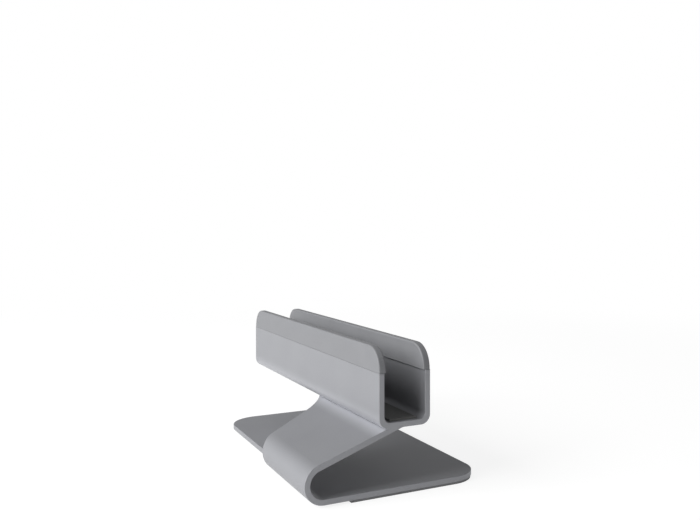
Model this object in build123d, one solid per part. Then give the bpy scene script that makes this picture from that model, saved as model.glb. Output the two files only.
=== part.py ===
"""Vertical laptop stand: one bent aluminium body, silicone on the slot, rubber under the base.

The frame: +X runs along the slot to its right end, -Y points at the front, where the bend is, and +Z is up.
The origin is the middle of the stand's footprint box, on the desk.
"""

from build123d import *
from math import asin, atan2, cos, degrees, hypot, radians, sin, tan
import os

# U channel that makes the slot, lined up with +X
channel_length = 248.0
slot_width = 27.9
channel_wall = 3.6
channel_outer_radius = 6.2
channel_inner_radius = 4.0
slot_floor_height = 44.2
overall_height = 89.7

# Plate that forms the web, the bend and the base
plate_thickness = 3.6
bend_inner_radius = 8.5
bend_to_channel = 47.3
web_seat_depth = 0.63
web_root_radius = 6.0
neck_length = 82.5
neck_taper = 19.4
neck_root_length = 130.0
neck_flare_radius = 34.0
neck_flare_end_angle = 5.0
neck_flare_overrun = 0.7
base_length = 212.0
base_depth = 121.3
wing_corner_radius = 23.0
rear_corner_radius = 20.0
edge_round = 0.4

# Silicone caps over the tops of the channel's two walls
cap_height = 15.5
cap_standout = 1.2
cap_corner_rise = 0.5
cap_edge_round = 1.0
cap_seam_round = 0.3
cap_outer_skin = 1.2
cap_end_skin = 2.0
cap_top_skin = 2.5
tongue_thickness = 1.6

# Silicone pad on the slot's floor
slot_pad_thickness = 1.2
slot_pad_end_margin = 3.0
slot_pad_corner_gap = 0.8
slot_pad_round = 0.3

# Rubber strips under the two ends of the base
base_pad_thickness = 1.4
base_pad_width = 16.0
base_pad_inset = 0.5
base_pad_setback = 17.2
base_pad_corner_radius = 2.0

# Lines that the pieces share
right_x = channel_length / 2
left_x = -channel_length / 2
base_left_x = right_x - base_length
front_y = -base_depth / 2
rear_y = base_depth / 2
plate_bottom_z = base_pad_thickness

bend_outer_radius = bend_inner_radius + plate_thickness
bend_y = front_y + bend_outer_radius
bend_z = plate_bottom_z + bend_outer_radius

channel_front_y = front_y + bend_to_channel
channel_width = slot_width + 2 * channel_wall
slot_mid_y = channel_front_y + channel_width / 2
floor_bottom_z = slot_floor_height - channel_wall
floor_mid_z = slot_floor_height - channel_wall / 2
corner_dy = channel_front_y + channel_outer_radius - bend_y
corner_dz = floor_bottom_z + channel_outer_radius - bend_z
cap_bottom_z = overall_height - cap_height
cap_corner_radius = cap_height - cap_corner_rise

# The web leaves the bend as a tangent, and its top face cuts a little way into the channel's rounded corner
web_reach = bend_outer_radius + channel_outer_radius - web_seat_depth
web_angle = atan2(corner_dz, corner_dy) - asin(web_reach / hypot(corner_dy, corner_dz))
web_slope = tan(web_angle)
corner_along = corner_dy * cos(web_angle) + corner_dz * sin(web_angle)


def web_point(along, radius):
    """The point (y, z) at a distance along the web from the bend, at a radius from the bend's centre line."""
    y = bend_y + along * cos(web_angle) - radius * sin(web_angle)
    z = bend_z + along * sin(web_angle) + radius * cos(web_angle)
    return y, z


def web_at_height(radius, height):
    """The point (y, z) where the web's line at a radius from the bend's centre line reaches a height."""
    y, z = web_point(0, radius)
    return y + (height - z) / web_slope, height


def bend_profile():
    """The section of the bend, from the base plate's front round to the foot of the web."""
    centre = (bend_y, bend_z)
    start = 90 + degrees(web_angle)
    turn = 270 - start
    outer = CenterArc(centre, bend_outer_radius, start, turn)
    inner = CenterArc(centre, bend_inner_radius, start, turn)
    foot = Line(outer @ 0, inner @ 0)
    base = Line(outer @ 1, inner @ 1)
    return make_face([outer, base, inner, foot])


def web_profile():
    """The section of the web, up into the thickness of the channel's floor, with its rounded root below."""
    root = web_at_height(bend_inner_radius, floor_bottom_z)
    root_tangent = web_root_radius * tan(web_angle / 2)
    root_start = (root[0] - root_tangent * cos(web_angle), root[1] - root_tangent * sin(web_angle))
    root_end = (root[0] + root_tangent, root[1])
    top = Polyline(
        web_point(0, bend_inner_radius),
        web_point(0, bend_outer_radius),
        web_at_height(bend_outer_radius, floor_mid_z),
        (root_end[0], floor_mid_z),
        root_end,
    )
    fairing = TangentArc(root_end, root_start, tangent=(-1, 0))
    underside = Line(root_start, web_point(0, bend_inner_radius))
    return make_face([top, fairing, underside])


def neck_edge_x(along):
    """Where the neck's straight left edge lies, at a distance along the web from the bend."""
    return right_x - neck_length - along * tan(radians(neck_taper))


def flare_edge_x(along):
    """Where the flare's straight end lies: it crosses the root's left end just past the channel's corner."""
    past_end = along - corner_along - neck_flare_overrun
    return right_x - neck_root_length - past_end / tan(radians(neck_flare_end_angle))


def neck_cutter():
    """What the neck leaves of the strip: its left edge leans outwards, then flares into the channel."""
    reach = bend_outer_radius + plate_thickness
    lean = 1 / tan(radians(neck_flare_end_angle)) - tan(radians(neck_taper))
    flare_along = (flare_edge_x(0) - neck_edge_x(0)) / lean
    flare_corner = (neck_edge_x(flare_along), flare_along)
    end_along = corner_along + web_root_radius
    outline = Polyline(
        (neck_edge_x(-reach), -reach),
        flare_corner,
        (flare_edge_x(end_along), end_along),
        (flare_edge_x(end_along), -reach),
        close=True,
    )
    face = make_face(outline)
    vertex = face.vertices().sort_by_distance((*flare_corner, 0))[0]
    face = fillet(vertex, neck_flare_radius)
    foot_y, foot_z = web_point(0, 0)
    web_plane = Plane(
        origin=(0, foot_y, foot_z),
        x_dir=(1, 0, 0),
        z_dir=(0, -sin(web_angle), cos(web_angle)),
    )
    return extrude(web_plane * face, amount=reach, both=True)


def build_neck():
    """The bend and the web: one curved strip, straight at its right end and flared at its left."""
    strip = Plane.YZ.offset(right_x - neck_root_length) * (web_profile() + bend_profile())
    strip = extrude(strip, amount=neck_root_length)
    return strip - neck_cutter()


def base_plan(inset):
    """The base plate's outline in plan, square only where the bend leaves it at the front right."""
    low = (base_left_x + inset, bend_y + inset)
    high = (right_x - inset, rear_y - inset)
    outline = Polyline(low, (high[0], low[1]), high, (low[0], high[1]), close=True)
    face = make_face(outline)
    wing = face.vertices().sort_by_distance((low[0], low[1], 0))[0]
    face = fillet(wing, wing_corner_radius - inset)
    rear = face.vertices().sort_by(Axis.Y)[-2:]
    return fillet(rear, rear_corner_radius - inset)


def build_base():
    """The base plate, lying on its rubber strips."""
    return extrude(Plane.XY.offset(plate_bottom_z) * base_plan(0), amount=plate_thickness)


def rounded_bar(length, height, corner_radius):
    """An upright rectangle with round top corners, standing on the origin in its own plane."""
    face = Pos(0, height / 2) * Rectangle(length, height)
    return fillet(face.vertices().sort_by(Axis.Y)[-2:], corner_radius)


def build_channel():
    """The U channel, up to the line where the lip caps begin."""
    wall_height = cap_bottom_z - floor_bottom_z
    outer = Pos(slot_mid_y, floor_bottom_z + wall_height / 2) * Rectangle(channel_width, wall_height)
    outer = fillet(outer.vertices().sort_by(Axis.Y)[:2], channel_outer_radius)
    inner_height = cap_bottom_z - slot_floor_height
    inner = Pos(slot_mid_y, slot_floor_height + inner_height / 2) * Rectangle(slot_width, inner_height)
    inner = fillet(inner.vertices().sort_by(Axis.Y)[:2], channel_inner_radius)
    return extrude(Plane.YZ.offset(left_x) * (outer - inner), amount=channel_length)


def build_tongue():
    """The front wall's tongue: thinner than the wall, and set in from its ends."""
    face = rounded_bar(
        channel_length - 2 * cap_end_skin,
        cap_height - cap_top_skin,
        cap_corner_radius - cap_top_skin,
    )
    outer_y = channel_front_y + cap_outer_skin
    plane = Plane(origin=(0, outer_y, cap_bottom_z), x_dir=(1, 0, 0), z_dir=(0, -1, 0))
    return extrude(plane * face, amount=-tongue_thickness)


def mirror_across_slot(shape):
    """The same shape on the slot's other side."""
    return mirror(shape, about=Plane.XZ.offset(-slot_mid_y))


def build_body():
    """The whole aluminium body, one piece, with its cut edges rounded and a tongue along each wall."""
    body = build_base() + build_neck() + build_channel()
    ends = body.faces().filter_by(Axis.X).sort_by(Axis.X)
    body = fillet(ends[-1].outer_wire().edges(), edge_round)
    ends = body.faces().filter_by(Axis.X).sort_by(Axis.X)
    body = fillet(ends[0].outer_wire().edges(), edge_round)
    straight_along = bend_inner_radius
    neck_y, neck_z = web_point(straight_along, bend_outer_radius)
    neck_edge = body.edges().sort_by_distance((neck_edge_x(straight_along), neck_y, neck_z))[0]
    body = fillet(neck_edge, edge_round)
    tongue = build_tongue()
    return body + tongue + mirror_across_slot(tongue)


def build_front_cap():
    """The front lip cap: a sleeve flush with the wall outside and proud of it inside the slot."""
    face = rounded_bar(channel_length, cap_height, cap_corner_radius)
    plane = Plane(origin=(0, channel_front_y, cap_bottom_z), x_dir=(1, 0, 0), z_dir=(0, -1, 0))
    cap = extrude(plane * face, amount=-(channel_wall + cap_standout))
    outline = cap.edges().filter_by(Axis.Y, reverse=True)
    cap = fillet(outline.filter_by(lambda edge: edge.center().Z > cap_bottom_z), cap_edge_round)
    cap = fillet(cap.faces().sort_by(Axis.Z)[0].outer_wire().edges(), cap_seam_round)
    return cap - build_tongue()


def build_slot_pad():
    """The thin pad on the slot's floor, between the floor's two rounded corners."""
    width = slot_width - 2 * (channel_inner_radius + slot_pad_corner_gap)
    length = channel_length - 2 * slot_pad_end_margin
    middle = Pos(0, slot_mid_y, slot_floor_height + slot_pad_thickness / 2)
    pad = middle * Box(length, width, slot_pad_thickness)
    return fillet(pad.faces().sort_by(Axis.Z)[-1].edges(), slot_pad_round)


def build_base_pad(side):
    """One rubber strip under an end of the base plate: side is 1 at the right and -1 at the left."""
    outer_x = right_x if side > 0 else base_left_x
    low_y = bend_y + base_pad_setback
    depth = rear_y - low_y
    strip = Pos(outer_x - side * base_pad_width / 2, low_y + depth / 2) * Rectangle(base_pad_width, depth)
    face = strip & base_plan(base_pad_inset)
    inner = face.vertices().sort_by(Axis.X, reverse=side > 0)[-2:]
    face = fillet(inner, base_pad_corner_radius)
    return extrude(face, amount=base_pad_thickness)


front_cap = build_front_cap()
parts = {
    "stand_body": build_body(),
    "front_lip_cap": front_cap,
    "rear_lip_cap": mirror_across_slot(front_cap),
    "slot_floor_pad": build_slot_pad(),
    "base_pad_right": build_base_pad(1),
    "base_pad_left": build_base_pad(-1),
}

os.makedirs("parts", exist_ok=True)
for name, shape in parts.items():
    export_step(shape, f"parts/{name}.step")
    print(name, f"{shape.volume / 1000:.1f} cm3", shape.bounding_box())
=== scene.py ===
# %% [markdown]
# # A vertical laptop stand
#
# The stand is one bent and machined piece of aluminium with silicone on its slot and rubber under its base.
# Its solids arrive as a fixed frame, in metres, with +X along the slot and +Z up, so nothing here is
# measured or fitted again: this file gives those solids their finishes, and adds the camera and the studio.

# %% Load the frame
import math

import bpy
import numpy as np
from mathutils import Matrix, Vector


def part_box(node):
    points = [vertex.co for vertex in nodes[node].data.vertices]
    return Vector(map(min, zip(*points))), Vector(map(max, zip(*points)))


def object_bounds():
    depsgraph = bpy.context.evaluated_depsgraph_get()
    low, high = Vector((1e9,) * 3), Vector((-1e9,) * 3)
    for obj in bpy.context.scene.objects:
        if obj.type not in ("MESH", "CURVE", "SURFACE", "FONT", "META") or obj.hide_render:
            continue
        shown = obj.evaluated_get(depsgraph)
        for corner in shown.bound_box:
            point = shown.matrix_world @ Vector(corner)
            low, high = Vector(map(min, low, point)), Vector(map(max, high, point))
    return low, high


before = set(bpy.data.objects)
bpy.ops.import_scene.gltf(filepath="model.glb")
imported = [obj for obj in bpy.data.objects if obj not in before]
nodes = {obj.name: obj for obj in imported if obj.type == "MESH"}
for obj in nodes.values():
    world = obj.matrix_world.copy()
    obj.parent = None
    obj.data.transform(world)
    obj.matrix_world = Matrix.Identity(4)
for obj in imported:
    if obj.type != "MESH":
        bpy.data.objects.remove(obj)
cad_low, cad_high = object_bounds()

cad_size = cad_high - cad_low
print("The frame holds", sorted(nodes))
print("The stand measures", [round(1000 * side, 1) for side in cad_size], "mm")

# %% [markdown]
# ## The camera
#
# A photograph of a product is often taken with the camera level and the lens shifted, so that upright
# edges stay upright. Tilting the camera would frame the stand as well, but its corners would lean. So the
# camera here looks along the horizon, and its shift puts the horizon where the photograph has it.

# %% Place the camera
photo_width = 700
photo_height = 520
sensor_width = 36.0
focal_pixels = 786.2
horizon_pixel = Vector((408.5, 224.9))
camera_place = Vector((0.5475, -0.2185, 0.1635))
camera_heading = Vector((-0.8831, 0.4691, 0.0))

camera_data = bpy.data.cameras.new("photo_camera")
camera_data.sensor_width = sensor_width
camera_data.lens = focal_pixels / photo_width * sensor_width
camera_data.shift_x = 0.5 - horizon_pixel.x / photo_width
camera_data.shift_y = (horizon_pixel.y - photo_height / 2) / photo_width
camera = bpy.data.objects.new("photo_camera", camera_data)
camera.location = camera_place
camera.rotation_mode = "QUATERNION"
camera.rotation_quaternion = camera_heading.to_track_quat("-Z", "Y")
bpy.context.scene.collection.objects.link(camera)
bpy.context.scene.camera = camera
print("The lens is", round(camera_data.lens, 1), "mm, shifted by", round(camera_data.shift_x, 3))

# %% [markdown]
# ## Nodes, made by name
#
# Every finish below is a tree of shader nodes. Written out one call at a time, such a tree hides what it
# does. So small helpers make a node and join it up, or make an empty material, in one line each.

# %% Helpers for node trees
def add(tree, kind, **settings):
    """Adds a node to a tree. Settings whose name is an input's give that input its value or its link."""
    made = tree.nodes.new(kind)
    for name, value in settings.items():
        if hasattr(made, name):
            setattr(made, name, value)
            continue
        socket = made.inputs[name.replace("_", " ")]
        if isinstance(value, bpy.types.NodeSocket):
            tree.links.new(value, socket)
        else:
            socket.default_value = value
    return made


def calculate(tree, operation, first, second=0.0):
    """One Math node: both operands are numbers or sockets, and its result is given back as a socket."""
    made = tree.nodes.new("ShaderNodeMath")
    made.operation = operation
    for value, socket in zip((first, second), made.inputs):
        if isinstance(value, bpy.types.NodeSocket):
            tree.links.new(value, socket)
        else:
            socket.default_value = value
    return made.outputs["Value"]


def new_material(name):
    """An empty material and its node tree."""
    material = bpy.data.materials.new(name)
    material.use_nodes = True
    material.node_tree.nodes.clear()
    return material, material.node_tree


# %% [markdown]
# ## The studio
#
# The photograph is a cut-out look: white all round, with hardly a shadow where the stand meets the
# floor. A very strong lamp would also turn the floor white, but it would burn out the metal. So the one
# lamp stays plain, and the floor and the sky lift themselves to white for the rays that come from the
# camera or from a reflection. Diffuse light from them stays at its plain level.

# %% Which rays see the background, and how a value fades
def ray_is(tree, *kinds):
    """1 for a ray of one of these kinds and 0 for any other, from the Light Path node."""
    path = add(tree, "ShaderNodeLightPath")
    answer = path.outputs[kinds[0]]
    for kind in kinds[1:]:
        answer = calculate(tree, "MAXIMUM", answer, path.outputs[kind])
    return answer


def fade(tree, value, start, end, low, high):
    """A smooth run from low to high as a value goes from start to end, and level outside them."""
    run = add(tree, "ShaderNodeMapRange", interpolation_type="SMOOTHSTEP", Value=value)
    for name, number in (("From Min", start), ("From Max", end), ("To Min", low), ("To Max", high)):
        run.inputs[name].default_value = number
    return run.outputs["Result"]


def choose(tree, answer, otherwise, value):
    """One of two numbers: value where the answer is 1, otherwise where it is 0."""
    made = add(tree, "ShaderNodeMix", data_type="FLOAT")
    for socket, given in zip((made.inputs[0], made.inputs[2], made.inputs[3]), (answer, otherwise, value)):
        if isinstance(given, bpy.types.NodeSocket):
            tree.links.new(given, socket)
        else:
            socket.default_value = given
    return made.outputs[0]


# %% [markdown]
# A real studio's ceiling is dark, and its white sweep reaches only a little way up. A metal shows that at
# once: its upward faces turn darker than its upright ones. So a reflection sees white at the horizon
# and less and less above it, and the base plate stays calm behind the web.

# %% The sky
sky_light = 0.29
ceiling_glow = 0.22
sweep_start = -0.05
sweep_end = 0.4

world = bpy.data.worlds.new("studio")
world.use_nodes = True
tree = world.node_tree
tree.nodes.clear()
direction = add(tree, "ShaderNodeSeparateXYZ", Vector=add(tree, "ShaderNodeTexCoord").outputs["Generated"])
reflected = fade(tree, direction.outputs["Z"], sweep_start, sweep_end, 1.0, ceiling_glow)
strength = choose(tree, ray_is(tree, "Is Glossy Ray"), sky_light, reflected)
strength = choose(tree, ray_is(tree, "Is Camera Ray", "Is Transmission Ray"), strength, 1.0)
sky = add(tree, "ShaderNodeBackground", Color=(1.0, 1.0, 1.0, 1.0), Strength=strength)
add(tree, "ShaderNodeOutputWorld", Surface=sky.outputs["Background"])
bpy.context.scene.world = world
bpy.context.scene.view_settings.view_transform = "Standard"
print("The sky lights the stand at", sky_light, "and looks white")

# %% The floor
floor_radius = 12.0
floor_grey = 0.8
seen_grey = 0.22
seen_glow = 0.84
shadow_reach = 0.3
white_reach = 1.1


def floor_disc(radius, rings=12, spokes=96):
    """A flat disc. Ring i has radius R (i / rings) squared, so the rings are closest under the stand."""
    ring = radius * (np.arange(1, rings + 1) / rings) ** 2
    turn = np.linspace(0, 2 * np.pi, spokes, endpoint=False)
    x = np.outer(ring, np.cos(turn)).ravel()
    y = np.outer(ring, np.sin(turn)).ravel()
    points = np.vstack([[0.0, 0.0, 0.0], np.column_stack([x, y, np.zeros_like(x)])])
    spoke = np.arange(spokes)
    after = (spoke + 1) % spokes
    centre = np.column_stack([np.zeros_like(spoke), 1 + spoke, 1 + after]).tolist()
    inner = (1 + np.arange(rings - 1) * spokes)[:, None]
    quads = np.stack([inner + spoke, inner + spokes + spoke, inner + spokes + after, inner + after], axis=-1)
    mesh = bpy.data.meshes.new("floor")
    mesh.from_pydata(points.tolist(), [], centre + quads.reshape(-1, 4).tolist())
    return mesh


material, tree = new_material("studio_floor")
plain = add(tree, "ShaderNodeBsdfDiffuse", Color=(floor_grey, floor_grey, floor_grey, 1.0))
shade = add(tree, "ShaderNodeBsdfDiffuse", Color=(seen_grey, seen_grey, seen_grey, 1.0))
glow = add(tree, "ShaderNodeEmission", Color=(1.0, 1.0, 1.0, 1.0), Strength=seen_glow)
white = add(tree, "ShaderNodeEmission", Color=(1.0, 1.0, 1.0, 1.0), Strength=1.0)
lifted = add(tree, "ShaderNodeAddShader")
tree.links.new(shade.outputs["BSDF"], lifted.inputs[0])
tree.links.new(glow.outputs["Emission"], lifted.inputs[1])
place = add(tree, "ShaderNodeTexCoord").outputs["Object"]
distance = add(tree, "ShaderNodeVectorMath", operation="LENGTH")
tree.links.new(place, distance.inputs[0])
far = fade(tree, distance.outputs["Value"], shadow_reach, white_reach, 0.0, 1.0)
swept = add(tree, "ShaderNodeMixShader", Fac=far)
tree.links.new(lifted.outputs["Shader"], swept.inputs[1])
tree.links.new(white.outputs["Emission"], swept.inputs[2])
seen = ray_is(tree, "Is Camera Ray", "Is Glossy Ray", "Is Transmission Ray")
chosen = add(tree, "ShaderNodeMixShader", Fac=seen)
tree.links.new(plain.outputs["BSDF"], chosen.inputs[1])
tree.links.new(swept.outputs["Shader"], chosen.inputs[2])
add(tree, "ShaderNodeOutputMaterial", Surface=chosen.outputs["Shader"])

floor = bpy.data.objects.new("floor", floor_disc(floor_radius))
floor.data.materials.append(material)
bpy.context.scene.collection.objects.link(floor)
print("The floor has", len(floor.data.polygons), "faces")

# %% The lamp
def soft_lamp(name, azimuth, elevation, distance, size, irradiance):
    """A square lamp that faces the stand. Seen face on, its power is irradiance x pi x distance squared."""
    a = math.radians(azimuth)
    e = math.radians(elevation)
    away = Vector((math.sin(a) * math.cos(e), -math.cos(a) * math.cos(e), math.sin(e)))
    data = bpy.data.lights.new(name, "AREA")
    data.size = size
    data.energy = irradiance * math.pi * distance**2
    lamp = bpy.data.objects.new(name, data)
    lamp.location = away * distance
    lamp.rotation_mode = "QUATERNION"
    lamp.rotation_quaternion = (-away).to_track_quat("-Z", "Y")
    bpy.context.scene.collection.objects.link(lamp)
    return lamp


soft_lamp("front_lamp", azimuth=-2.0, elevation=33.5, distance=1.6, size=1.2, irradiance=4.35)
print("One soft lamp stands in front of the stand")

# %% [markdown]
# ## Grain that several finishes share
#
# Blasted metal, moulded silicone and rubber all have a fine skin and slow, cloudy changes of tone. The
# skin comes from two noises, a fine one and a coarser one, and the clouds from a third. One node group
# holds all three, and each finish places it with its own sizes.

# %% The group for skin and clouds
coarse_scale_ratio = 0.31
coarse_share = 0.35
noise_low = 0.3
noise_high = 0.7


def skin_group():
    """Height is the fine skin and Clouds the slow tone, both between 0 and 1. Sizes are in metres."""
    group = bpy.data.node_groups.new("fine_skin", "ShaderNodeTree")
    for name, default in (("Grain Size", 0.0003), ("Cloud Size", 0.02)):
        socket = group.interface.new_socket(name=name, in_out="INPUT", socket_type="NodeSocketFloat")
        socket.default_value = default
    for name in ("Height", "Clouds"):
        group.interface.new_socket(name=name, in_out="OUTPUT", socket_type="NodeSocketFloat")
    given = group.nodes.new("NodeGroupInput").outputs
    place = add(group, "ShaderNodeTexCoord").outputs["Object"]
    grain_scale = calculate(group, "DIVIDE", 1.0, given["Grain Size"])
    coarse_scale = calculate(group, "MULTIPLY", grain_scale, coarse_scale_ratio)
    cloud_scale = calculate(group, "DIVIDE", 1.0, given["Cloud Size"])
    fine = add(group, "ShaderNodeTexNoise", Vector=place, Scale=grain_scale, Detail=2.0, Roughness=0.6)
    coarse = add(group, "ShaderNodeTexNoise", Vector=place, Scale=coarse_scale, Detail=1.0)
    clouds = add(group, "ShaderNodeTexNoise", Vector=place, Scale=cloud_scale, Detail=3.0, Roughness=0.5)
    fine_part = calculate(group, "MULTIPLY", fine.outputs["Fac"], 1.0 - coarse_share)
    coarse_part = calculate(group, "MULTIPLY", coarse.outputs["Fac"], coarse_share)
    height = calculate(group, "ADD", fine_part, coarse_part)
    out = group.nodes.new("NodeGroupOutput")
    group.links.new(height, out.inputs["Height"])
    group.links.new(clouds.outputs["Fac"], out.inputs["Clouds"])
    return group


fine_skin = skin_group()
print("The group puts out", [item.name for item in fine_skin.interface.items_tree if item.in_out == "OUTPUT"])


# %% Helpers that place the skin in a material
def place_skin(tree, grain_size, cloud_size):
    """The shared group in a tree, with this finish's sizes."""
    skin = tree.nodes.new("ShaderNodeGroup")
    skin.node_tree = fine_skin
    skin.inputs["Grain Size"].default_value = grain_size
    skin.inputs["Cloud Size"].default_value = cloud_size
    return skin


def between(tree, mask, low, high):
    """A number that runs from low to high over the part of a mask where a noise mostly lies."""
    spread = add(tree, "ShaderNodeMapRange", Value=mask)
    spread.inputs["From Min"].default_value = noise_low
    spread.inputs["From Max"].default_value = noise_high
    spread.inputs["To Min"].default_value = low
    spread.inputs["To Max"].default_value = high
    return spread.outputs["Result"]


def tinted(tree, mask, dark, light):
    """A colour that runs from dark to light over the same part of a mask."""
    mixed = add(tree, "ShaderNodeMix", data_type="RGBA")
    tree.links.new(between(tree, mask, 0.0, 1.0), mixed.inputs[0])
    mixed.inputs[6].default_value = (*dark, 1.0)
    mixed.inputs[7].default_value = (*light, 1.0)
    return mixed.outputs[2]


# %% [markdown]
# ## Anodised aluminium
#
# The stand is blasted with fine beads before it is anodised, which leaves a satin skin with no
# direction, and the dye turns it space grey. A plain grey metal would look like paint, so the skin's
# bump spreads the reflections, and the tone and the roughness wander a little from place to place.
#
# In the photograph a soft light line runs along the crease where the channel's wall meets the web. A plain
# finish under this lamp gives a dark line, because the channel's round corner turns down, away from the lamp.
# So light is painted into the colour near the crease, a painted highlight over the shade there. How much is
# tuned against the photograph. Why the real crease is light isn't known, so this painted light belongs to the
# picture rather than to the metal.

# %% Painted light along the crease
channel_wall = 0.0036
corner_radius = 0.0062
corner_sink = 0.00063
web_slope = math.radians(19.386)
# How strong and how wide the painted light along the crease is.
crease_painted_gain = 1.72
crease_painted_reach = 0.0125
least_forward = 0.2


def crease_place():
    """The crease's place across the stand: the channel's round corner, of radius R, sinks s into the web.
    Its centre is h = R - s above the web, so the crease is sqrt(R^2 - h^2) downhill of the corner's foot."""
    wall_face_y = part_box("front_lip_cap")[0][1]
    channel_low_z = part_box("slot_floor_pad")[0][2] - channel_wall
    height = corner_radius - corner_sink
    centre = Vector((0.0, wall_face_y + corner_radius, channel_low_z + corner_radius))
    downhill = Vector((0.0, -math.cos(web_slope), -math.sin(web_slope)))
    upward = Vector((0.0, -math.sin(web_slope), math.cos(web_slope)))
    return centre - height * upward + math.sqrt(corner_radius**2 - height**2) * downhill


def painted_crease_light(tree):
    """A factor of painted light on the colour: 1 far from the crease, rising to the full painted gain in it,
    on the faces that look forward into it.
    """
    coordinates = add(tree, "ShaderNodeTexCoord")
    offset = add(tree, "ShaderNodeVectorMath", operation="SUBTRACT")
    tree.links.new(coordinates.outputs["Object"], offset.inputs[0])
    offset.inputs[1].default_value = crease_place()
    across = add(tree, "ShaderNodeVectorMath", operation="MULTIPLY")
    tree.links.new(offset.outputs["Vector"], across.inputs[0])
    across.inputs[1].default_value = (0.0, 1.0, 1.0)
    distance = add(tree, "ShaderNodeVectorMath", operation="LENGTH")
    tree.links.new(across.outputs["Vector"], distance.inputs[0])
    near = fade(tree, distance.outputs["Value"], 0.0, crease_painted_reach, crease_painted_gain - 1.0, 0.0)
    facing = add(tree, "ShaderNodeSeparateXYZ", Vector=coordinates.outputs["Normal"])
    forward = calculate(tree, "LESS_THAN", facing.outputs["Y"], -least_forward)
    return calculate(tree, "ADD", 1.0, calculate(tree, "MULTIPLY", near, forward))


print("The crease is at", [round(1000 * v, 2) for v in crease_place()[1:]], "mm across and up")


# %% The body's finish
body_tones = (0.288, 0.292, 0.310), (0.304, 0.308, 0.326)
body_metallic = 0.45


def anodised_aluminium():
    """Blasted and dyed metal: half metallic, half dyed skin, with a satin and slightly uneven reflection, and
    light painted into its colour along the crease.
    """
    material, tree = new_material("anodised_aluminium")
    skin = place_skin(tree, grain_size=0.00022, cloud_size=0.035)
    dyed = tinted(tree, skin.outputs["Clouds"], *body_tones)
    colour = add(tree, "ShaderNodeVectorMath", operation="SCALE")
    tree.links.new(dyed, colour.inputs[0])
    # Painted light: the colour is scaled up near the crease to cover the shade there.
    tree.links.new(painted_crease_light(tree), colour.inputs["Scale"])
    roughness = between(tree, skin.outputs["Height"], 0.46, 0.54)
    bump = add(tree, "ShaderNodeBump", Strength=0.12, Distance=0.00003, Height=skin.outputs["Height"])
    shader = add(tree, "ShaderNodeBsdfPrincipled", Roughness=roughness, Normal=bump.outputs["Normal"])
    tree.links.new(colour.outputs["Vector"], shader.inputs["Base Color"])
    shader.inputs["Metallic"].default_value = body_metallic
    add(tree, "ShaderNodeOutputMaterial", Surface=shader.outputs["BSDF"])
    return material


# %% [markdown]
# ## Silicone and rubber
#
# The lip caps and the slot's pad are moulded silicone: matt, with the fine texture of the mould. The
# strips under the base are rubber with a coarser skin.

# %% The soft finishes
def moulded(name, tones, grain_size, roughness, depth):
    """A matt moulded finish with its own two tones, skin size, roughness from low to high and skin depth."""
    material, tree = new_material(name)
    skin = place_skin(tree, grain_size=grain_size, cloud_size=0.018)
    colour = tinted(tree, skin.outputs["Clouds"], *tones)
    uneven = between(tree, skin.outputs["Clouds"], *roughness)
    bump = add(tree, "ShaderNodeBump", Strength=0.2, Distance=depth, Height=skin.outputs["Height"])
    shader = add(tree, "ShaderNodeBsdfPrincipled", Roughness=uneven, Normal=bump.outputs["Normal"])
    tree.links.new(colour, shader.inputs["Base Color"])
    add(tree, "ShaderNodeOutputMaterial", Surface=shader.outputs["BSDF"])
    return material


def dress(node, material):
    """Gives a node of the frame its one material."""
    mesh = nodes[node].data
    mesh.materials.clear()
    mesh.materials.append(material)
    mesh.polygons.foreach_set("material_index", np.zeros(len(mesh.polygons), dtype=np.int32))


lip_tones = (0.200, 0.203, 0.214), (0.214, 0.217, 0.228)
pad_tones = (0.125, 0.125, 0.122), (0.140, 0.140, 0.137)
strip_tones = (0.246, 0.248, 0.258), (0.268, 0.270, 0.280)
lip_silicone = moulded("lip_silicone", lip_tones, grain_size=0.0004, roughness=(0.56, 0.62), depth=0.00005)
pad_silicone = moulded("pad_silicone", pad_tones, grain_size=0.0004, roughness=(0.6, 0.68), depth=0.00005)
base_rubber = moulded("base_rubber", strip_tones, grain_size=0.0006, roughness=(0.7, 0.8), depth=0.00008)

dress("stand_body", anodised_aluminium())
for cap in ("front_lip_cap", "rear_lip_cap"):
    dress(cap, lip_silicone)
dress("slot_floor_pad", pad_silicone)
for pad in ("base_pad_right", "base_pad_left"):
    dress(pad, base_rubber)
print("The finishes are", sorted({node.data.materials[0].name for node in nodes.values()}))
